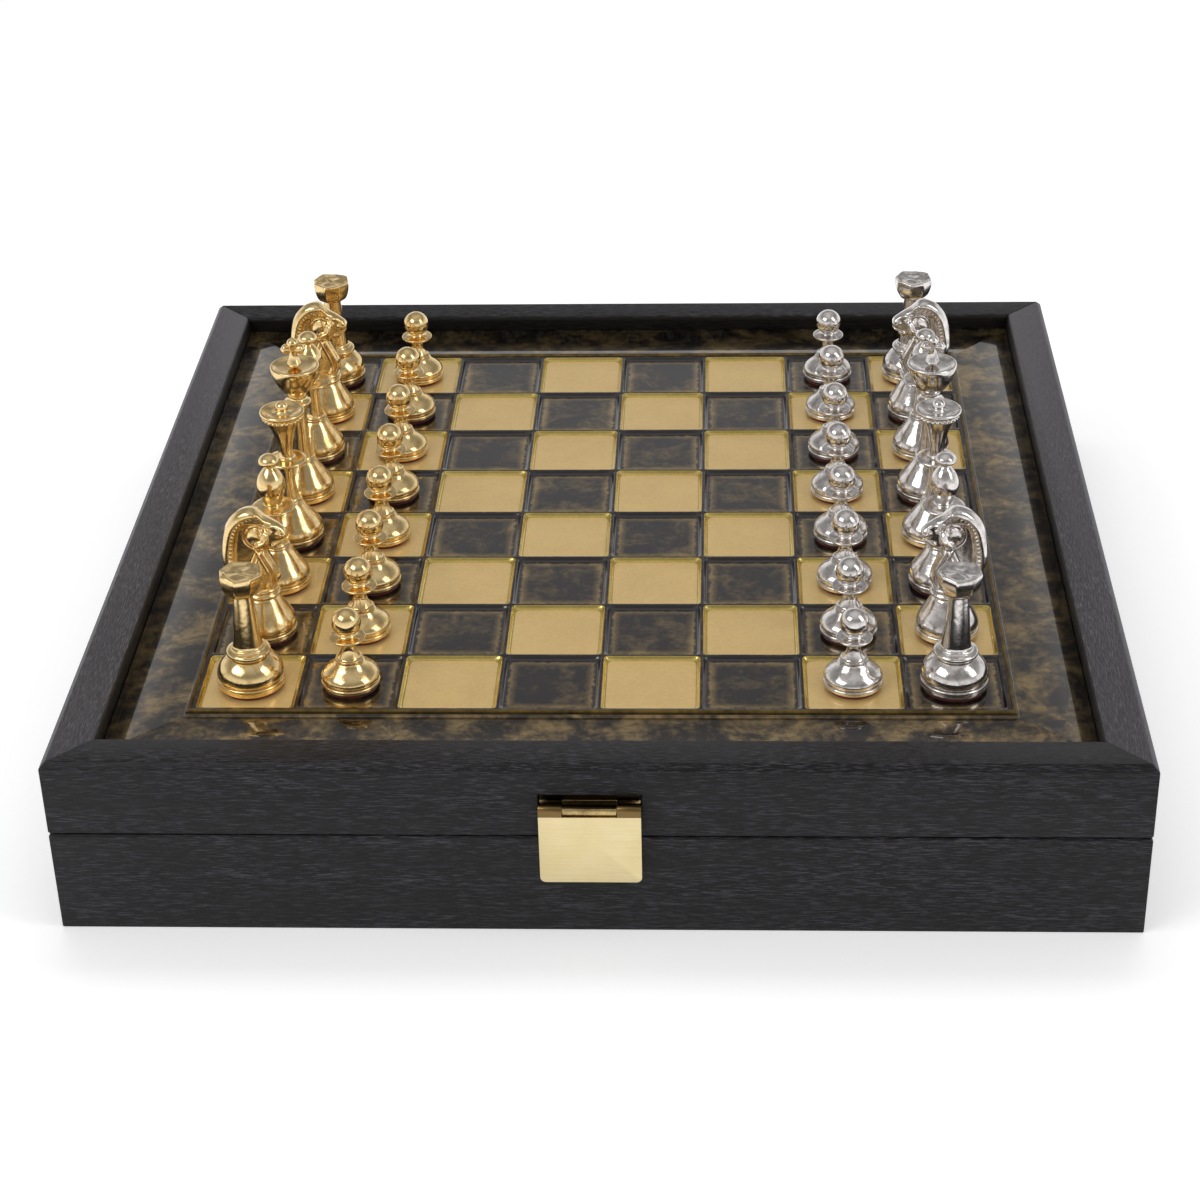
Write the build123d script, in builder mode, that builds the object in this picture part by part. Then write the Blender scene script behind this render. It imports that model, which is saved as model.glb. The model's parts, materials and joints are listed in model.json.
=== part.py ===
"""A flat square chess case with a hinged lid, an embossed metal board let into the lid, and cast chessmen.

Millimetres, +Z up. The origin is the middle of the case's underside. +X runs from the gold army to the
silver one, and +Y from the clasp to the hinges. The case is closed and the men stand on the board.
"""

import os
from math import atan2, degrees

from build123d import *

os.makedirs("parts", exist_ok=True)

# Case: outside sizes and boards
case_side = 305.0
base_height = 32.1
seam = 0.1
lid_height = 23.5
wall = 9.0
rail_width = 13.6
bottom_thickness = 4.0
bottom_bearing = 4.5
rim_chamfer = 1.7
rim_round = 1.5
seam_ease = 0.6
fit = 0.25

# Board plate and what carries it
plate_drop = 5.1
plate_thickness = 1.0
backing_thickness = 5.0
lining_thickness = 3.0

# Embossed pattern of the plate
squares = 8
field_margin = 23.3
rib_height = 1.2
rib_top = 1.3
rib_foot = 2.7
bead_height = 1.8
bead_width = 1.2
bead_slope = 0.7
field_shift = -2.4

# Storage insert in the base
insert_pad = 4.0
insert_bar_height = 23.0
officer_slot_length = 62.0
pawn_slot_length = 36.0
slot_width = 25.0

# Hinges at the back
hinge_inset = 57.5
hinge_length = 30.0
hinge_thickness = 1.0
hinge_depth = 7.5
barrel_radius = 2.2
barrel_clearance = 0.3
hinge_pin_radius = 1.0
knuckle_count = 5
knuckle_gap = 0.15
running_clearance = 0.05
mortise_clearance = 0.1

# Clasp at the front
clasp_offset = -1.4
clasp_width = 28.2
clasp_bottom = 19.3
clasp_pivot_height = 42.6
clasp_pivot_stand = 2.0
clasp_knuckle_radius = 1.5
clasp_pin_radius = 0.75
clasp_sheet = 1.1
clasp_middle_knuckle = 14.8
clasp_corner = 1.6
flange_top = 35.0
flange_relief = 0.2
clasp_mortise_depth = 2.2
clasp_mortise_above = 3.6
clasp_mortise_below = 1.6
clasp_leaf_thickness = 1.0
catch_height = 8.0
catch_bottom = 23.0
catch_thickness = 1.7
catch_clearance = 0.15

# Chessmen: each height is measured from the board, felt pad included
felt_thickness = 0.9
felt_inset = 0.6
glue_line = 0.05
foot_edge = 0.4
groove_depth = 0.5
groove_half = 0.35
bell_swell = 0.5

pawn_foot_radius = 8.6
pawn_groove_height = 2.9
pawn_shoulder = (3.8, 9.4)
pawn_waist = (1.95, 12.6)
pawn_collar = (5.2, 15.9)
pawn_ball_radius = 4.2
pawn_height = 25.5

rook_foot_radius = 9.8
rook_groove_height = 3.7
rook_ring = (6.2, 12.0)
rook_ring_half = 1.0
rook_shaft_foot = 4.2
rook_shaft_top = 2.7
rook_head_height = 31.0
rook_head_foot = 4.7
rook_head_radius = 6.0
rook_head_sides = 8
rook_rim = 1.2
rook_notch_width = 1.6
rook_notch_depth = 1.4
rook_height = 38.0

bishop_foot_radius = 9.5
bishop_groove_height = 3.4
bishop_ring = (4.1, 14.0)
bishop_waist_radius = 2.4
bishop_collar = (6.5, 27.2)
bishop_egg_foot = 2.7
bishop_egg = (4.5, 34.0)
bishop_neck = (1.4, 40.8)
bishop_knob = (2.9, 43.0)
bishop_height = 45.0

queen_foot_radius = 9.9
queen_groove_height = 3.5
queen_ring = (3.9, 14.0)
queen_waist_radius = 2.1
queen_collar = (6.25, 28.2)
queen_neck = (2.3, 32.5)
queen_bead = (5.9, 43.0)
queen_disc = (7.0, 45.2)
queen_flare = -1.2
queen_ball_radius = 2.0
queen_height = 48.2

king_foot_radius = 9.7
king_groove_height = 3.5
king_ring = (4.2, 14.2)
king_stem_foot = 3.1
king_stem_top = 2.6
king_collar = (4.3, 34.0)
king_cup_foot = (3.5, 37.4)
king_cup = (7.8, 46.8)
king_cup_depth = 1.0
king_cross_reach = 3.5
king_cross_height = 52.6
king_cross_half = 1.0
king_height = 56.6

knight_foot_radius = 9.4
knight_groove_height = 3.4
knight_ring = (5.3, 15.6)
knight_ring_half = 1.3
knight_neck_thickness = 7.0
knight_head_thickness = 5.4
knight_cheek_radius = 3.1
knight_cheek_swell = 0.6
knight_side_recess = 1.3
knight_mane_width = 2.8
knight_mane_foot = -4.6
knight_mane = (-10.9, 26.4)
knight_nape = (-8.8, 37.4)
knight_poll = (-5.8, 41.0)
knight_crest = (-1.6, 42.5)
knight_brow = (2.6, 39.4)
knight_nose = (8.4, 34.9)
knight_lip = (8.4, 32.4)
knight_chin = (5.4, 29.8)
knight_throat = (2.4, 28.9)
knight_chest = (5.9, 20.4)
knight_cheek = (0.2, 33.2)

# Derived levels
lid_bottom = base_height + seam
case_height = lid_bottom + lid_height
plate_top = case_height - plate_drop
plate_bottom = plate_top - plate_thickness
backing_bottom = plate_bottom - backing_thickness
half_side = case_side / 2
inside_side = case_side - 2 * wall
opening_side = case_side - 2 * rail_width
pitch = (opening_side - 2 * field_margin) / squares
field = squares * pitch
insert_side = inside_side - 2 * fit
slot_floor = bottom_thickness + insert_pad
hinge_axis_y = half_side + barrel_clearance + barrel_radius
hinge_axis_z = base_height + seam / 2
clasp_axis_y = -half_side - clasp_pivot_stand
clasp_face_y = clasp_axis_y - clasp_knuckle_radius


def save(piece, name):
    """Label a finished piece and write it to a STEP file of its own."""
    piece.part.label = name
    export_step(piece.part, f"parts/{name}.step")


hinge_xs = (hinge_inset - half_side, half_side - hinge_inset)
leaf_face_y = -half_side + clasp_mortise_depth - clasp_leaf_thickness


def mitred(section):
    """Run a section drawn at the front of the case along X and cut both ends at 45 degrees."""
    with BuildPart() as side:
        with BuildSketch(Plane.YZ):
            with BuildLine():
                section()
            make_face()
        extrude(amount=half_side, both=True)
        for end in (-1, 1):
            corner = Plane((end * half_side, -half_side, 0), z_dir=(-end, -1, 0))
            split(bisect_by=corner, keep=Keep.TOP)
    return side.part


def wall_section():
    """Base wall: eased outer top edge, and a rebate below for the bottom panel."""
    outer = -half_side
    Polyline(
        (outer, 0),
        (outer, base_height - seam_ease),
        (outer + seam_ease, base_height),
        (outer + wall, base_height),
        (outer + wall, bottom_thickness),
        (outer + bottom_bearing, bottom_thickness),
        (outer + bottom_bearing, 0),
        close=True,
    )


def rail_section():
    """Lid rail: chamfered outer rim, rounded inner rim, and a lip over the backing panel."""
    outer = -half_side
    inner = outer + rail_width
    Polyline(
        (inner, case_height - rim_round),
        (inner, plate_bottom),
        (outer + wall, plate_bottom),
        (outer + wall, lid_bottom),
        (outer + seam_ease, lid_bottom),
        (outer, lid_bottom + seam_ease),
        (outer, case_height - rim_chamfer),
        (outer + rim_chamfer, case_height),
        (inner - rim_round, case_height),
    )
    RadiusArc(
        (inner - rim_round, case_height), (inner, case_height - rim_round), rim_round
    )


# Base walls
base_wall = mitred(wall_section)

with BuildPart() as base_front_wall:
    add(base_wall)
save(base_front_wall, "base_front_wall")

with BuildPart() as base_right_wall:
    add(base_wall, rotation=(0, 0, 90))
save(base_right_wall, "base_right_wall")

with BuildPart() as base_back_wall:
    add(base_wall, rotation=(0, 0, 180))
    with Locations(*[(x, half_side, base_height) for x in hinge_xs]):
        Box(
            hinge_length + 2 * mortise_clearance,
            2 * hinge_depth,
            2 * hinge_thickness,
            mode=Mode.SUBTRACT,
        )
save(base_back_wall, "base_back_wall")

with BuildPart() as base_left_wall:
    add(base_wall, rotation=(0, 0, 270))
save(base_left_wall, "base_left_wall")

with BuildPart() as base_bottom_panel:
    bottom_side = case_side - 2 * bottom_bearing - 2 * fit
    Box(
        bottom_side,
        bottom_side,
        bottom_thickness,
        align=(Align.CENTER, Align.CENTER, Align.MIN),
    )
save(base_bottom_panel, "base_bottom_panel")

# Storage insert: a floor pad, cross bars, and dividers between the slots of each row
row_lengths = [pawn_slot_length, officer_slot_length, officer_slot_length, pawn_slot_length]
bar_width = (insert_side - sum(row_lengths)) / (len(row_lengths) + 1)
divider_width = (insert_side - squares * slot_width) / (squares + 1)
on_floor = (Align.CENTER, Align.CENTER, Align.MIN)

with BuildPart() as insert_floor:
    with Locations((0, 0, bottom_thickness)):
        Box(insert_side, insert_side, insert_pad, align=on_floor)
save(insert_floor, "insert_floor")

with BuildPart() as insert_bars:
    y = -insert_side / 2
    for length in [0] + row_lengths:
        y += length
        with Locations((0, y, slot_floor)):
            Box(
                insert_side,
                bar_width,
                insert_bar_height,
                align=(Align.CENTER, Align.MIN, Align.MIN),
            )
        y += bar_width
save(insert_bars, "insert_bars")

with BuildPart() as insert_dividers:
    y = -insert_side / 2
    for length in row_lengths:
        y += bar_width
        with Locations((0, y + length / 2, slot_floor)):
            with GridLocations(slot_width + divider_width, 1, squares + 1, 1):
                Box(
                    divider_width,
                    length - 2 * fit,
                    insert_bar_height,
                    align=on_floor,
                )
        y += length
save(insert_dividers, "insert_dividers")

# Lid rails
lid_rail = mitred(rail_section)

with BuildPart() as lid_front_rail:
    add(lid_rail)
    mortise_floor_y = -half_side + clasp_mortise_depth
    with Locations((clasp_offset, mortise_floor_y, clasp_pivot_height - clasp_mortise_below)):
        Box(
            clasp_width + 2 * mortise_clearance,
            2 * clasp_mortise_depth,
            clasp_mortise_above + clasp_mortise_below,
            align=(Align.CENTER, Align.MAX, Align.MIN),
            mode=Mode.SUBTRACT,
        )
save(lid_front_rail, "lid_front_rail")

with BuildPart() as lid_right_rail:
    add(lid_rail, rotation=(0, 0, 90))
save(lid_right_rail, "lid_right_rail")

with BuildPart() as lid_back_rail:
    add(lid_rail, rotation=(0, 0, 180))
    with Locations(*[(x, half_side, lid_bottom) for x in hinge_xs]):
        Box(
            hinge_length + 2 * mortise_clearance,
            2 * hinge_depth,
            2 * hinge_thickness,
            mode=Mode.SUBTRACT,
        )
save(lid_back_rail, "lid_back_rail")

with BuildPart() as lid_left_rail:
    add(lid_rail, rotation=(0, 0, 270))
save(lid_left_rail, "lid_left_rail")

with BuildPart() as lid_backing_panel:
    with Locations((0, 0, backing_bottom)):
        Box(insert_side, insert_side, backing_thickness, align=on_floor)
save(lid_backing_panel, "lid_backing_panel")

with BuildPart() as lid_lining:
    with Locations((0, 0, backing_bottom)):
        Box(
            insert_side,
            insert_side,
            lining_thickness,
            align=(Align.CENTER, Align.CENTER, Align.MAX),
        )
save(lid_lining, "lid_lining")

# Board plate: a raised bead round the field, and a sunken pocket with sloped sides for each square
with BuildPart() as board_plate:
    plate_side = opening_side - 2 * fit
    with Locations((0, 0, plate_bottom)):
        Box(plate_side, plate_side, plate_thickness, align=on_floor)
    bead_outer = field - rib_top + 2 * (bead_width + rib_top)
    with BuildSketch(Plane((0, field_shift, plate_top))):
        Rectangle(bead_outer + 2 * bead_slope, bead_outer + 2 * bead_slope)
    extrude(amount=bead_height, taper=degrees(atan2(bead_slope, bead_height)))
    rib_level = plate_top + rib_height
    with BuildSketch(Plane((0, field_shift, rib_level))):
        Rectangle(field - rib_top, field - rib_top)
    extrude(amount=bead_height, mode=Mode.SUBTRACT)
    with BuildSketch(Plane((0, field_shift, rib_level))):
        with GridLocations(pitch, pitch, squares, squares):
            Rectangle(pitch - rib_top, pitch - rib_top)
    side_lean = degrees(atan2((rib_foot - rib_top) / 2, rib_height))
    extrude(amount=-rib_height, taper=side_lean, mode=Mode.SUBTRACT)
save(board_plate, "board_plate")

# Butt hinges: leaves let into the back wall and the back rail, with the barrel outside
knuckle_length = hinge_length / knuckle_count


def hinge_leaf(side):
    """Both leaves of one side: -1 for the base, which has the outer knuckles, and 1 for the lid."""
    level = base_height if side < 0 else lid_bottom
    first = 0 if side < 0 else 1
    with BuildPart() as leaf:
        for x in hinge_xs:
            with Locations((x, half_side, level)):
                Box(
                    hinge_length,
                    hinge_depth,
                    hinge_thickness,
                    align=(
                        Align.CENTER,
                        Align.MAX,
                        Align.MAX if side < 0 else Align.MIN,
                    ),
                )
            for k in range(first, knuckle_count, 2):
                middle = x + (k - (knuckle_count - 1) / 2) * knuckle_length
                length = knuckle_length - 2 * knuckle_gap
                with Locations((middle, half_side, level)):
                    Box(
                        length,
                        barrel_radius + barrel_clearance,
                        hinge_thickness,
                        align=(
                            Align.CENTER,
                            Align.MIN,
                            Align.MAX if side < 0 else Align.MIN,
                        ),
                    )
                with Locations(
                    Location((middle, hinge_axis_y, hinge_axis_z), (0, 90, 0))
                ):
                    Cylinder(barrel_radius, length)
            with Locations(Location((x, hinge_axis_y, hinge_axis_z), (0, 90, 0))):
                Cylinder(
                    hinge_pin_radius + running_clearance,
                    2 * hinge_length,
                    mode=Mode.SUBTRACT,
                )
    return leaf


save(hinge_leaf(-1), "hinge_base_leaves")
save(hinge_leaf(1), "hinge_lid_leaves")

with BuildPart() as hinge_pins:
    for x in hinge_xs:
        with Locations(Location((x, hinge_axis_y, hinge_axis_z), (0, 90, 0))):
            Cylinder(hinge_pin_radius, hinge_length)
save(hinge_pins, "hinge_pins")

# Clasp: a leaf let into the lid, a pin, a pressed flap over the seam, and the catch block that it grips
clasp_axis = Location((clasp_offset, clasp_axis_y, clasp_pivot_height), (0, 90, 0))
side_knuckle = (clasp_width - clasp_middle_knuckle) / 2 - knuckle_gap

with BuildPart() as clasp_leaf:
    with Locations((clasp_offset, leaf_face_y, clasp_pivot_height)):
        Box(
            clasp_width - 2 * mortise_clearance,
            clasp_leaf_thickness,
            clasp_mortise_above,
            align=(Align.CENTER, Align.MIN, Align.MIN),
        )
    with Locations((clasp_offset, clasp_axis_y, clasp_pivot_height)):
        Box(
            clasp_middle_knuckle,
            leaf_face_y - clasp_axis_y + clasp_leaf_thickness,
            clasp_leaf_thickness,
            align=(Align.CENTER, Align.MIN, Align.MIN),
        )
    with Locations(clasp_axis):
        Cylinder(clasp_knuckle_radius, clasp_middle_knuckle)
        Cylinder(
            clasp_pin_radius + running_clearance,
            2 * clasp_width,
            mode=Mode.SUBTRACT,
        )
save(clasp_leaf, "clasp_leaf")

with BuildPart() as clasp_pin:
    with Locations(clasp_axis):
        Cylinder(clasp_pin_radius, clasp_width)
save(clasp_pin, "clasp_pin")

with BuildPart() as clasp_flap:
    with BuildSketch(Plane.XZ.offset(-clasp_face_y)):
        with Locations((clasp_offset, clasp_bottom)):
            flap_height = clasp_pivot_height - clasp_knuckle_radius - clasp_bottom
            Rectangle(clasp_width, flap_height, align=(Align.CENTER, Align.MIN))
    extrude(amount=-clasp_sheet)
    lower_corners = clasp_flap.edges().filter_by(Axis.Y).group_by(Axis.Z)[0]
    fillet(lower_corners, clasp_corner)
    for end in (-1, 1):
        edge = clasp_offset + end * clasp_width / 2
        toward = Align.MIN if end < 0 else Align.MAX
        with Locations((edge, clasp_face_y, clasp_bottom + clasp_corner)):
            Box(
                clasp_sheet,
                -half_side - flange_relief - clasp_face_y,
                flange_top - clasp_bottom - clasp_corner,
                align=(toward, Align.MIN, Align.MIN),
            )
        middle = edge - end * side_knuckle / 2
        with Locations((middle, clasp_face_y, clasp_pivot_height)):
            Box(
                side_knuckle,
                clasp_sheet,
                2 * clasp_knuckle_radius,
                align=(Align.CENTER, Align.MIN, Align.MAX),
            )
        with Locations(
            Location((middle, clasp_axis_y, clasp_pivot_height), (0, 90, 0))
        ):
            Cylinder(clasp_knuckle_radius, side_knuckle)
    with Locations(clasp_axis):
        Cylinder(
            clasp_pin_radius + running_clearance,
            2 * clasp_width,
            mode=Mode.SUBTRACT,
        )
save(clasp_flap, "clasp_flap")

with BuildPart() as clasp_catch:
    catch_width = clasp_width - 2 * (clasp_sheet + catch_clearance)
    with Locations((clasp_offset, -half_side, catch_bottom)):
        Box(
            catch_width,
            catch_thickness,
            catch_height,
            align=(Align.CENTER, Align.MAX, Align.MIN),
        )
save(clasp_catch, "clasp_catch")


def foot(radius, groove_height):
    """Outline of a man's foot from the axis out: flat underside, rim, and turned groove. Returns its end."""
    underside = felt_thickness + glue_line
    bell = (radius - groove_depth / 2, groove_height + groove_half)
    Polyline(
        (0, underside),
        (radius - foot_edge, underside),
        (radius, groove_height - groove_half),
        (radius - groove_depth, groove_height),
        bell,
    )
    return bell


def close_on_axis(top):
    """Finish an outline down the man's axis."""
    Line((0, top), (0, felt_thickness + glue_line))


def turned(outline):
    """Revolve an outline, drawn as (radius, height), about the man's own axis."""
    with BuildPart() as figure:
        with BuildSketch(Plane.XZ):
            with BuildLine():
                outline()
            make_face()
        revolve(axis=Axis.Z)
    return figure.part


def pawn_outline():
    """A low bell, a waist, a thin collar, and a ball."""
    ball_height = pawn_height - pawn_ball_radius
    seat = (0.6 * pawn_ball_radius, ball_height - 0.8 * pawn_ball_radius)
    bell = foot(pawn_foot_radius, pawn_groove_height)
    SagittaArc(bell, pawn_shoulder, bell_swell)
    Polyline(pawn_shoulder, pawn_waist, pawn_collar, seat)
    ThreePointArc(seat, (pawn_ball_radius, ball_height), (0, pawn_height))
    close_on_axis(pawn_height)


def rook_outline():
    """A swelling bell, a round ring, and a tapered shaft up to the head."""
    ring_radius, ring_height = rook_ring
    half = rook_ring_half
    under_ring = (ring_radius - half, ring_height - half)
    bell = foot(rook_foot_radius, rook_groove_height)
    SagittaArc(bell, under_ring, 2 * bell_swell)
    Polyline(
        under_ring,
        (ring_radius, ring_height - half / 2),
        (ring_radius, ring_height + half / 2),
        (ring_radius - half, ring_height + half),
        (rook_shaft_foot, ring_height + rook_ring_half),
        (rook_shaft_top, rook_head_height),
        (0, rook_head_height),
    )
    close_on_axis(rook_head_height)


def bishop_outline():
    """A tall bell, a thin ring, a wide collar, an egg, and a flattened knob."""
    ring_radius, ring_height = bishop_ring
    egg_foot = (bishop_egg_foot, bishop_collar[1] + 1.0)
    knob_foot = (bishop_neck[0], bishop_neck[1] + 0.5)
    knob_crown = (0.55 * bishop_knob[0], bishop_height - 0.3)
    bell = foot(bishop_foot_radius, bishop_groove_height)
    SagittaArc(bell, (ring_radius - 0.4, ring_height - 0.7), bell_swell)
    Polyline(
        (ring_radius - 0.4, ring_height - 0.7),
        bishop_ring,
        (bishop_waist_radius, ring_height + 0.9),
        (bishop_waist_radius, bishop_collar[1] - 1.6),
        bishop_collar,
        egg_foot,
    )
    ThreePointArc(egg_foot, bishop_egg, bishop_neck)
    Polyline(bishop_neck, knob_foot, bishop_knob, knob_crown, (0, bishop_height))
    close_on_axis(bishop_height)


def queen_outline():
    """A tall bell, a ring, a collar, a flaring neck under a beaded disc, and a small ball."""
    ring_radius, ring_height = queen_ring
    disc_radius, disc_height = queen_disc
    ball_height = queen_height - queen_ball_radius
    sunk = ball_height - disc_height
    seat = ((queen_ball_radius**2 - sunk**2) ** 0.5, disc_height)
    bell = foot(queen_foot_radius, queen_groove_height)
    SagittaArc(bell, (ring_radius - 0.4, ring_height - 0.7), bell_swell)
    Polyline(
        (ring_radius - 0.4, ring_height - 0.7),
        queen_ring,
        (queen_waist_radius + 0.6, ring_height + 0.9),
        (queen_waist_radius, queen_collar[1] - 1.4),
        queen_collar,
        (queen_neck[0], queen_collar[1] + 1.2),
        queen_neck,
    )
    SagittaArc(queen_neck, queen_bead, queen_flare)
    Polyline(
        queen_bead,
        (disc_radius, disc_height - 0.7),
        queen_disc,
        seat,
    )
    ThreePointArc(seat, (queen_ball_radius, ball_height), (0, queen_height))
    close_on_axis(queen_height)


def king_outline():
    """A tall bell, a ring, a long stem, a collar, and a round cup with a hollow top."""
    ring_radius, ring_height = king_ring
    cup_radius, cup_height = king_cup
    cup_side = (0.86 * cup_radius, 0.5 * (king_cup_foot[1] + cup_height))
    hollow = cup_height - king_cup_depth
    bell = foot(king_foot_radius, king_groove_height)
    SagittaArc(bell, (ring_radius - 0.4, ring_height - 0.7), bell_swell)
    Polyline(
        (ring_radius - 0.4, ring_height - 0.7),
        king_ring,
        (king_stem_foot, ring_height + 0.9),
        (king_stem_top, king_collar[1] - 1.6),
        king_collar,
        (king_stem_foot - 0.3, king_collar[1] + 1.2),
        king_cup_foot,
    )
    ThreePointArc(king_cup_foot, cup_side, king_cup)
    Polyline(king_cup, (cup_radius - 1.0, cup_height), (2.0, hollow), (0, hollow))
    close_on_axis(hollow)


def knight_outline():
    """A bell with a heavy collar, flat on top where the neck stands."""
    ring_radius, ring_height = knight_ring
    half = knight_ring_half
    bell = foot(knight_foot_radius, knight_groove_height)
    SagittaArc(bell, (ring_radius - half, ring_height - half), bell_swell)
    Polyline(
        (ring_radius - half, ring_height - half),
        knight_ring,
        (ring_radius - half, ring_height + half),
        (0, ring_height + half),
    )
    close_on_axis(ring_height + half)


def rook():
    """The shaft, and a faceted head that widens upwards, with a sunken top and a notch in each of four sides."""
    head = rook_height - rook_head_height
    with BuildPart() as figure:
        add(turned(rook_outline))
        with BuildSketch(Plane.XY.offset(rook_head_height)):
            RegularPolygon(rook_head_foot, rook_head_sides)
        extrude(amount=head, taper=-degrees(atan2(rook_head_radius - rook_head_foot, head)))
        with BuildSketch(Plane.XY.offset(rook_height)):
            RegularPolygon(rook_head_radius - rook_rim, rook_head_sides)
        extrude(amount=-rook_notch_depth / 2, mode=Mode.SUBTRACT)
        with Locations((0, 0, rook_height)):
            for turn in (0, 90):
                Box(
                    3 * rook_head_radius,
                    rook_notch_width,
                    rook_notch_depth,
                    rotation=(0, 0, turn),
                    mode=Mode.SUBTRACT,
                )
    return figure.part


def king():
    """The turned figure, and a cross with thick arms that stands in the cup."""
    hollow = king_cup[1] - king_cup_depth
    arm = 2 * king_cross_half
    with BuildPart() as figure:
        add(turned(king_outline))
        with Locations((0, 0, hollow)):
            Box(arm, arm, king_height - hollow, align=on_floor)
        with Locations((0, 0, king_cross_height)):
            Box(2 * king_cross_reach, arm, arm)
    return figure.part


def knight():
    """A neck arched back under a thick mane, hollow on both sides, and a head that looks along +X."""
    ring_top = knight_ring[1] + knight_ring_half
    mane_foot = (knight_mane_foot, ring_top)
    with BuildPart() as figure:
        add(turned(knight_outline))
        with BuildSketch(Plane.XZ) as neck:
            with BuildLine():
                ThreePointArc(mane_foot, knight_mane, knight_nape)
                ThreePointArc(knight_nape, knight_poll, knight_crest)
                Polyline(
                    knight_crest,
                    knight_brow,
                    knight_throat,
                    knight_chest,
                    (-knight_mane_foot, ring_top),
                    mane_foot,
                )
            make_face()
        extrude(amount=knight_neck_thickness / 2, both=True)
        for side in (-1, 1):
            with BuildSketch(Plane.XZ.offset(side * knight_neck_thickness / 2)):
                add(neck.sketch_local)
                offset(amount=-knight_mane_width, mode=Mode.REPLACE)
            extrude(amount=-side * knight_side_recess, mode=Mode.SUBTRACT)
        with BuildSketch(Plane.XZ):
            with BuildLine():
                Polyline(
                    knight_brow,
                    knight_nose,
                    knight_lip,
                    knight_chin,
                    knight_throat,
                    (knight_cheek[0] - knight_cheek_radius, knight_cheek[1]),
                    close=True,
                )
            make_face()
        extrude(amount=knight_head_thickness / 2, both=True)
        with BuildSketch(Plane.XZ):
            with Locations(knight_cheek):
                Circle(knight_cheek_radius)
        extrude(amount=knight_head_thickness / 2 + knight_cheek_swell, both=True)
    return figure.part


def felt_pad(radius):
    """The pad glued under a man's foot."""
    with BuildPart() as pad:
        Cylinder(radius - felt_inset, felt_thickness, align=on_floor)
    return pad.part


# The two armies: a back rank of officers and a rank of pawns each, facing each other along X
figures = {
    "pawn": (turned(pawn_outline), felt_pad(pawn_foot_radius)),
    "rook": (rook(), felt_pad(rook_foot_radius)),
    "knight": (knight(), felt_pad(knight_foot_radius)),
    "bishop": (turned(bishop_outline), felt_pad(bishop_foot_radius)),
    "queen": (turned(queen_outline), felt_pad(queen_foot_radius)),
    "king": (king(), felt_pad(king_foot_radius)),
}
files = "abcdefgh"
back_rank = ["rook", "knight", "bishop", "queen", "king", "bishop", "knight", "rook"]

for army, officer_column, pawn_column, facing in (("gold", 0, 1, 0), ("silver", 7, 6, 180)):
    for row, letter in enumerate(files):
        for kind, column in ((back_rank[row], officer_column), ("pawn", pawn_column)):
            x = (column - (squares - 1) / 2) * pitch
            y = (row - (squares - 1) / 2) * pitch + field_shift
            figure, pad = figures[kind]
            with BuildPart() as man:
                with Locations(Location((x, y, plate_top), (0, 0, facing))):
                    add(figure)
                    add(pad)
            single = kind in ("queen", "king")
            save(man, f"{army}_{kind}" if single else f"{army}_{kind}_{letter}")
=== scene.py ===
"""Chess set in a flat hinged case, dressed for its picture.

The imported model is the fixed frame. The chessmen, the embossed board and the hinge screws are
surfaces worked out with numpy from outlines in millimetres. The wooden walls, the clasp's flap
and its leaf are copies of their solids with eased edges, and the rest keeps its solids under new
finishes. Lamps, camera and shaders work in metres.
"""

import json

import bmesh
import bpy
import numpy as np
from mathutils import Matrix, Vector

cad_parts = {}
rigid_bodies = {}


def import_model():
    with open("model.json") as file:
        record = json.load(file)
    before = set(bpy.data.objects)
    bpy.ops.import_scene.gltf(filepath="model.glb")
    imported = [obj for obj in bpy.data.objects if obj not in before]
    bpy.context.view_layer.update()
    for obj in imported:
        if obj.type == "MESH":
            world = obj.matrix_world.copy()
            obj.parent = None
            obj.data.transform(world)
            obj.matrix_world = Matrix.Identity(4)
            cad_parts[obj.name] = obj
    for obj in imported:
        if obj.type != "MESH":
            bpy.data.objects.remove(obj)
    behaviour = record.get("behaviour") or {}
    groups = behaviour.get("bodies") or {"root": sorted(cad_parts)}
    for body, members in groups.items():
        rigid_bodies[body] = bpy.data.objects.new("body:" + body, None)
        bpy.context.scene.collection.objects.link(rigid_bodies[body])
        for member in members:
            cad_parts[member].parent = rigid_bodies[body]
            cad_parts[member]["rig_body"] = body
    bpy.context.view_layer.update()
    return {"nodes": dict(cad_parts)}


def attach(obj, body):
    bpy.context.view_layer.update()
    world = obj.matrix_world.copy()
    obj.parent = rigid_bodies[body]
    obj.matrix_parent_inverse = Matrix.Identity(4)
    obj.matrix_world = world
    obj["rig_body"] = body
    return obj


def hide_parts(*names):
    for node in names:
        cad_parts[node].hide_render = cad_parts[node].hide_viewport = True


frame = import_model()

# Millimetres in a metre
per_metre = 1000

# Board, as the solids have it
plate_top = 50.6
plate_bottom = 49.6
plate_half = 138.65
plate_edge = 0.1
squares = 8
pitch = 28.9
field_half = squares * pitch / 2
field_shift = -2.4

# Chessmen: files, officers from a to h, and the radius of each kind's foot
letters = "abcdefgh"
back_rank = ("rook", "knight", "bishop", "queen", "king", "bishop", "knight", "rook")
foot_radius = {
    "pawn": 8.6,
    "rook": 9.8,
    "knight": 9.4,
    "bishop": 9.5,
    "queen": 9.9,
    "king": 9.7,
}
felt_thick = 0.9

# Case: wood that is nearer to the middle than this along X and Y is painted nearly black, as painted
# shade on the faces that look into the case
painted_shade_reach = 139.5
wood_edge = 0.3

# Clasp: eased edges, and the levels above which the flap turns a darker brown and the leaf near black,
# the leaf's near black being a painted shadow of the recess it is set into
flap_edge = 0.28
leaf_edge = 0.15
flap_darker_level = 41.1
leaf_painted_shadow_level = 43.7

# Hinge screws: places along the back, how far back, and the level of the rims on each leaf
screw_xs = (-105.0, -85.0, 85.0, 105.0)
screw_y = 148.75
base_screw_level = 32.06
lid_screw_level = 32.24

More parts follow.
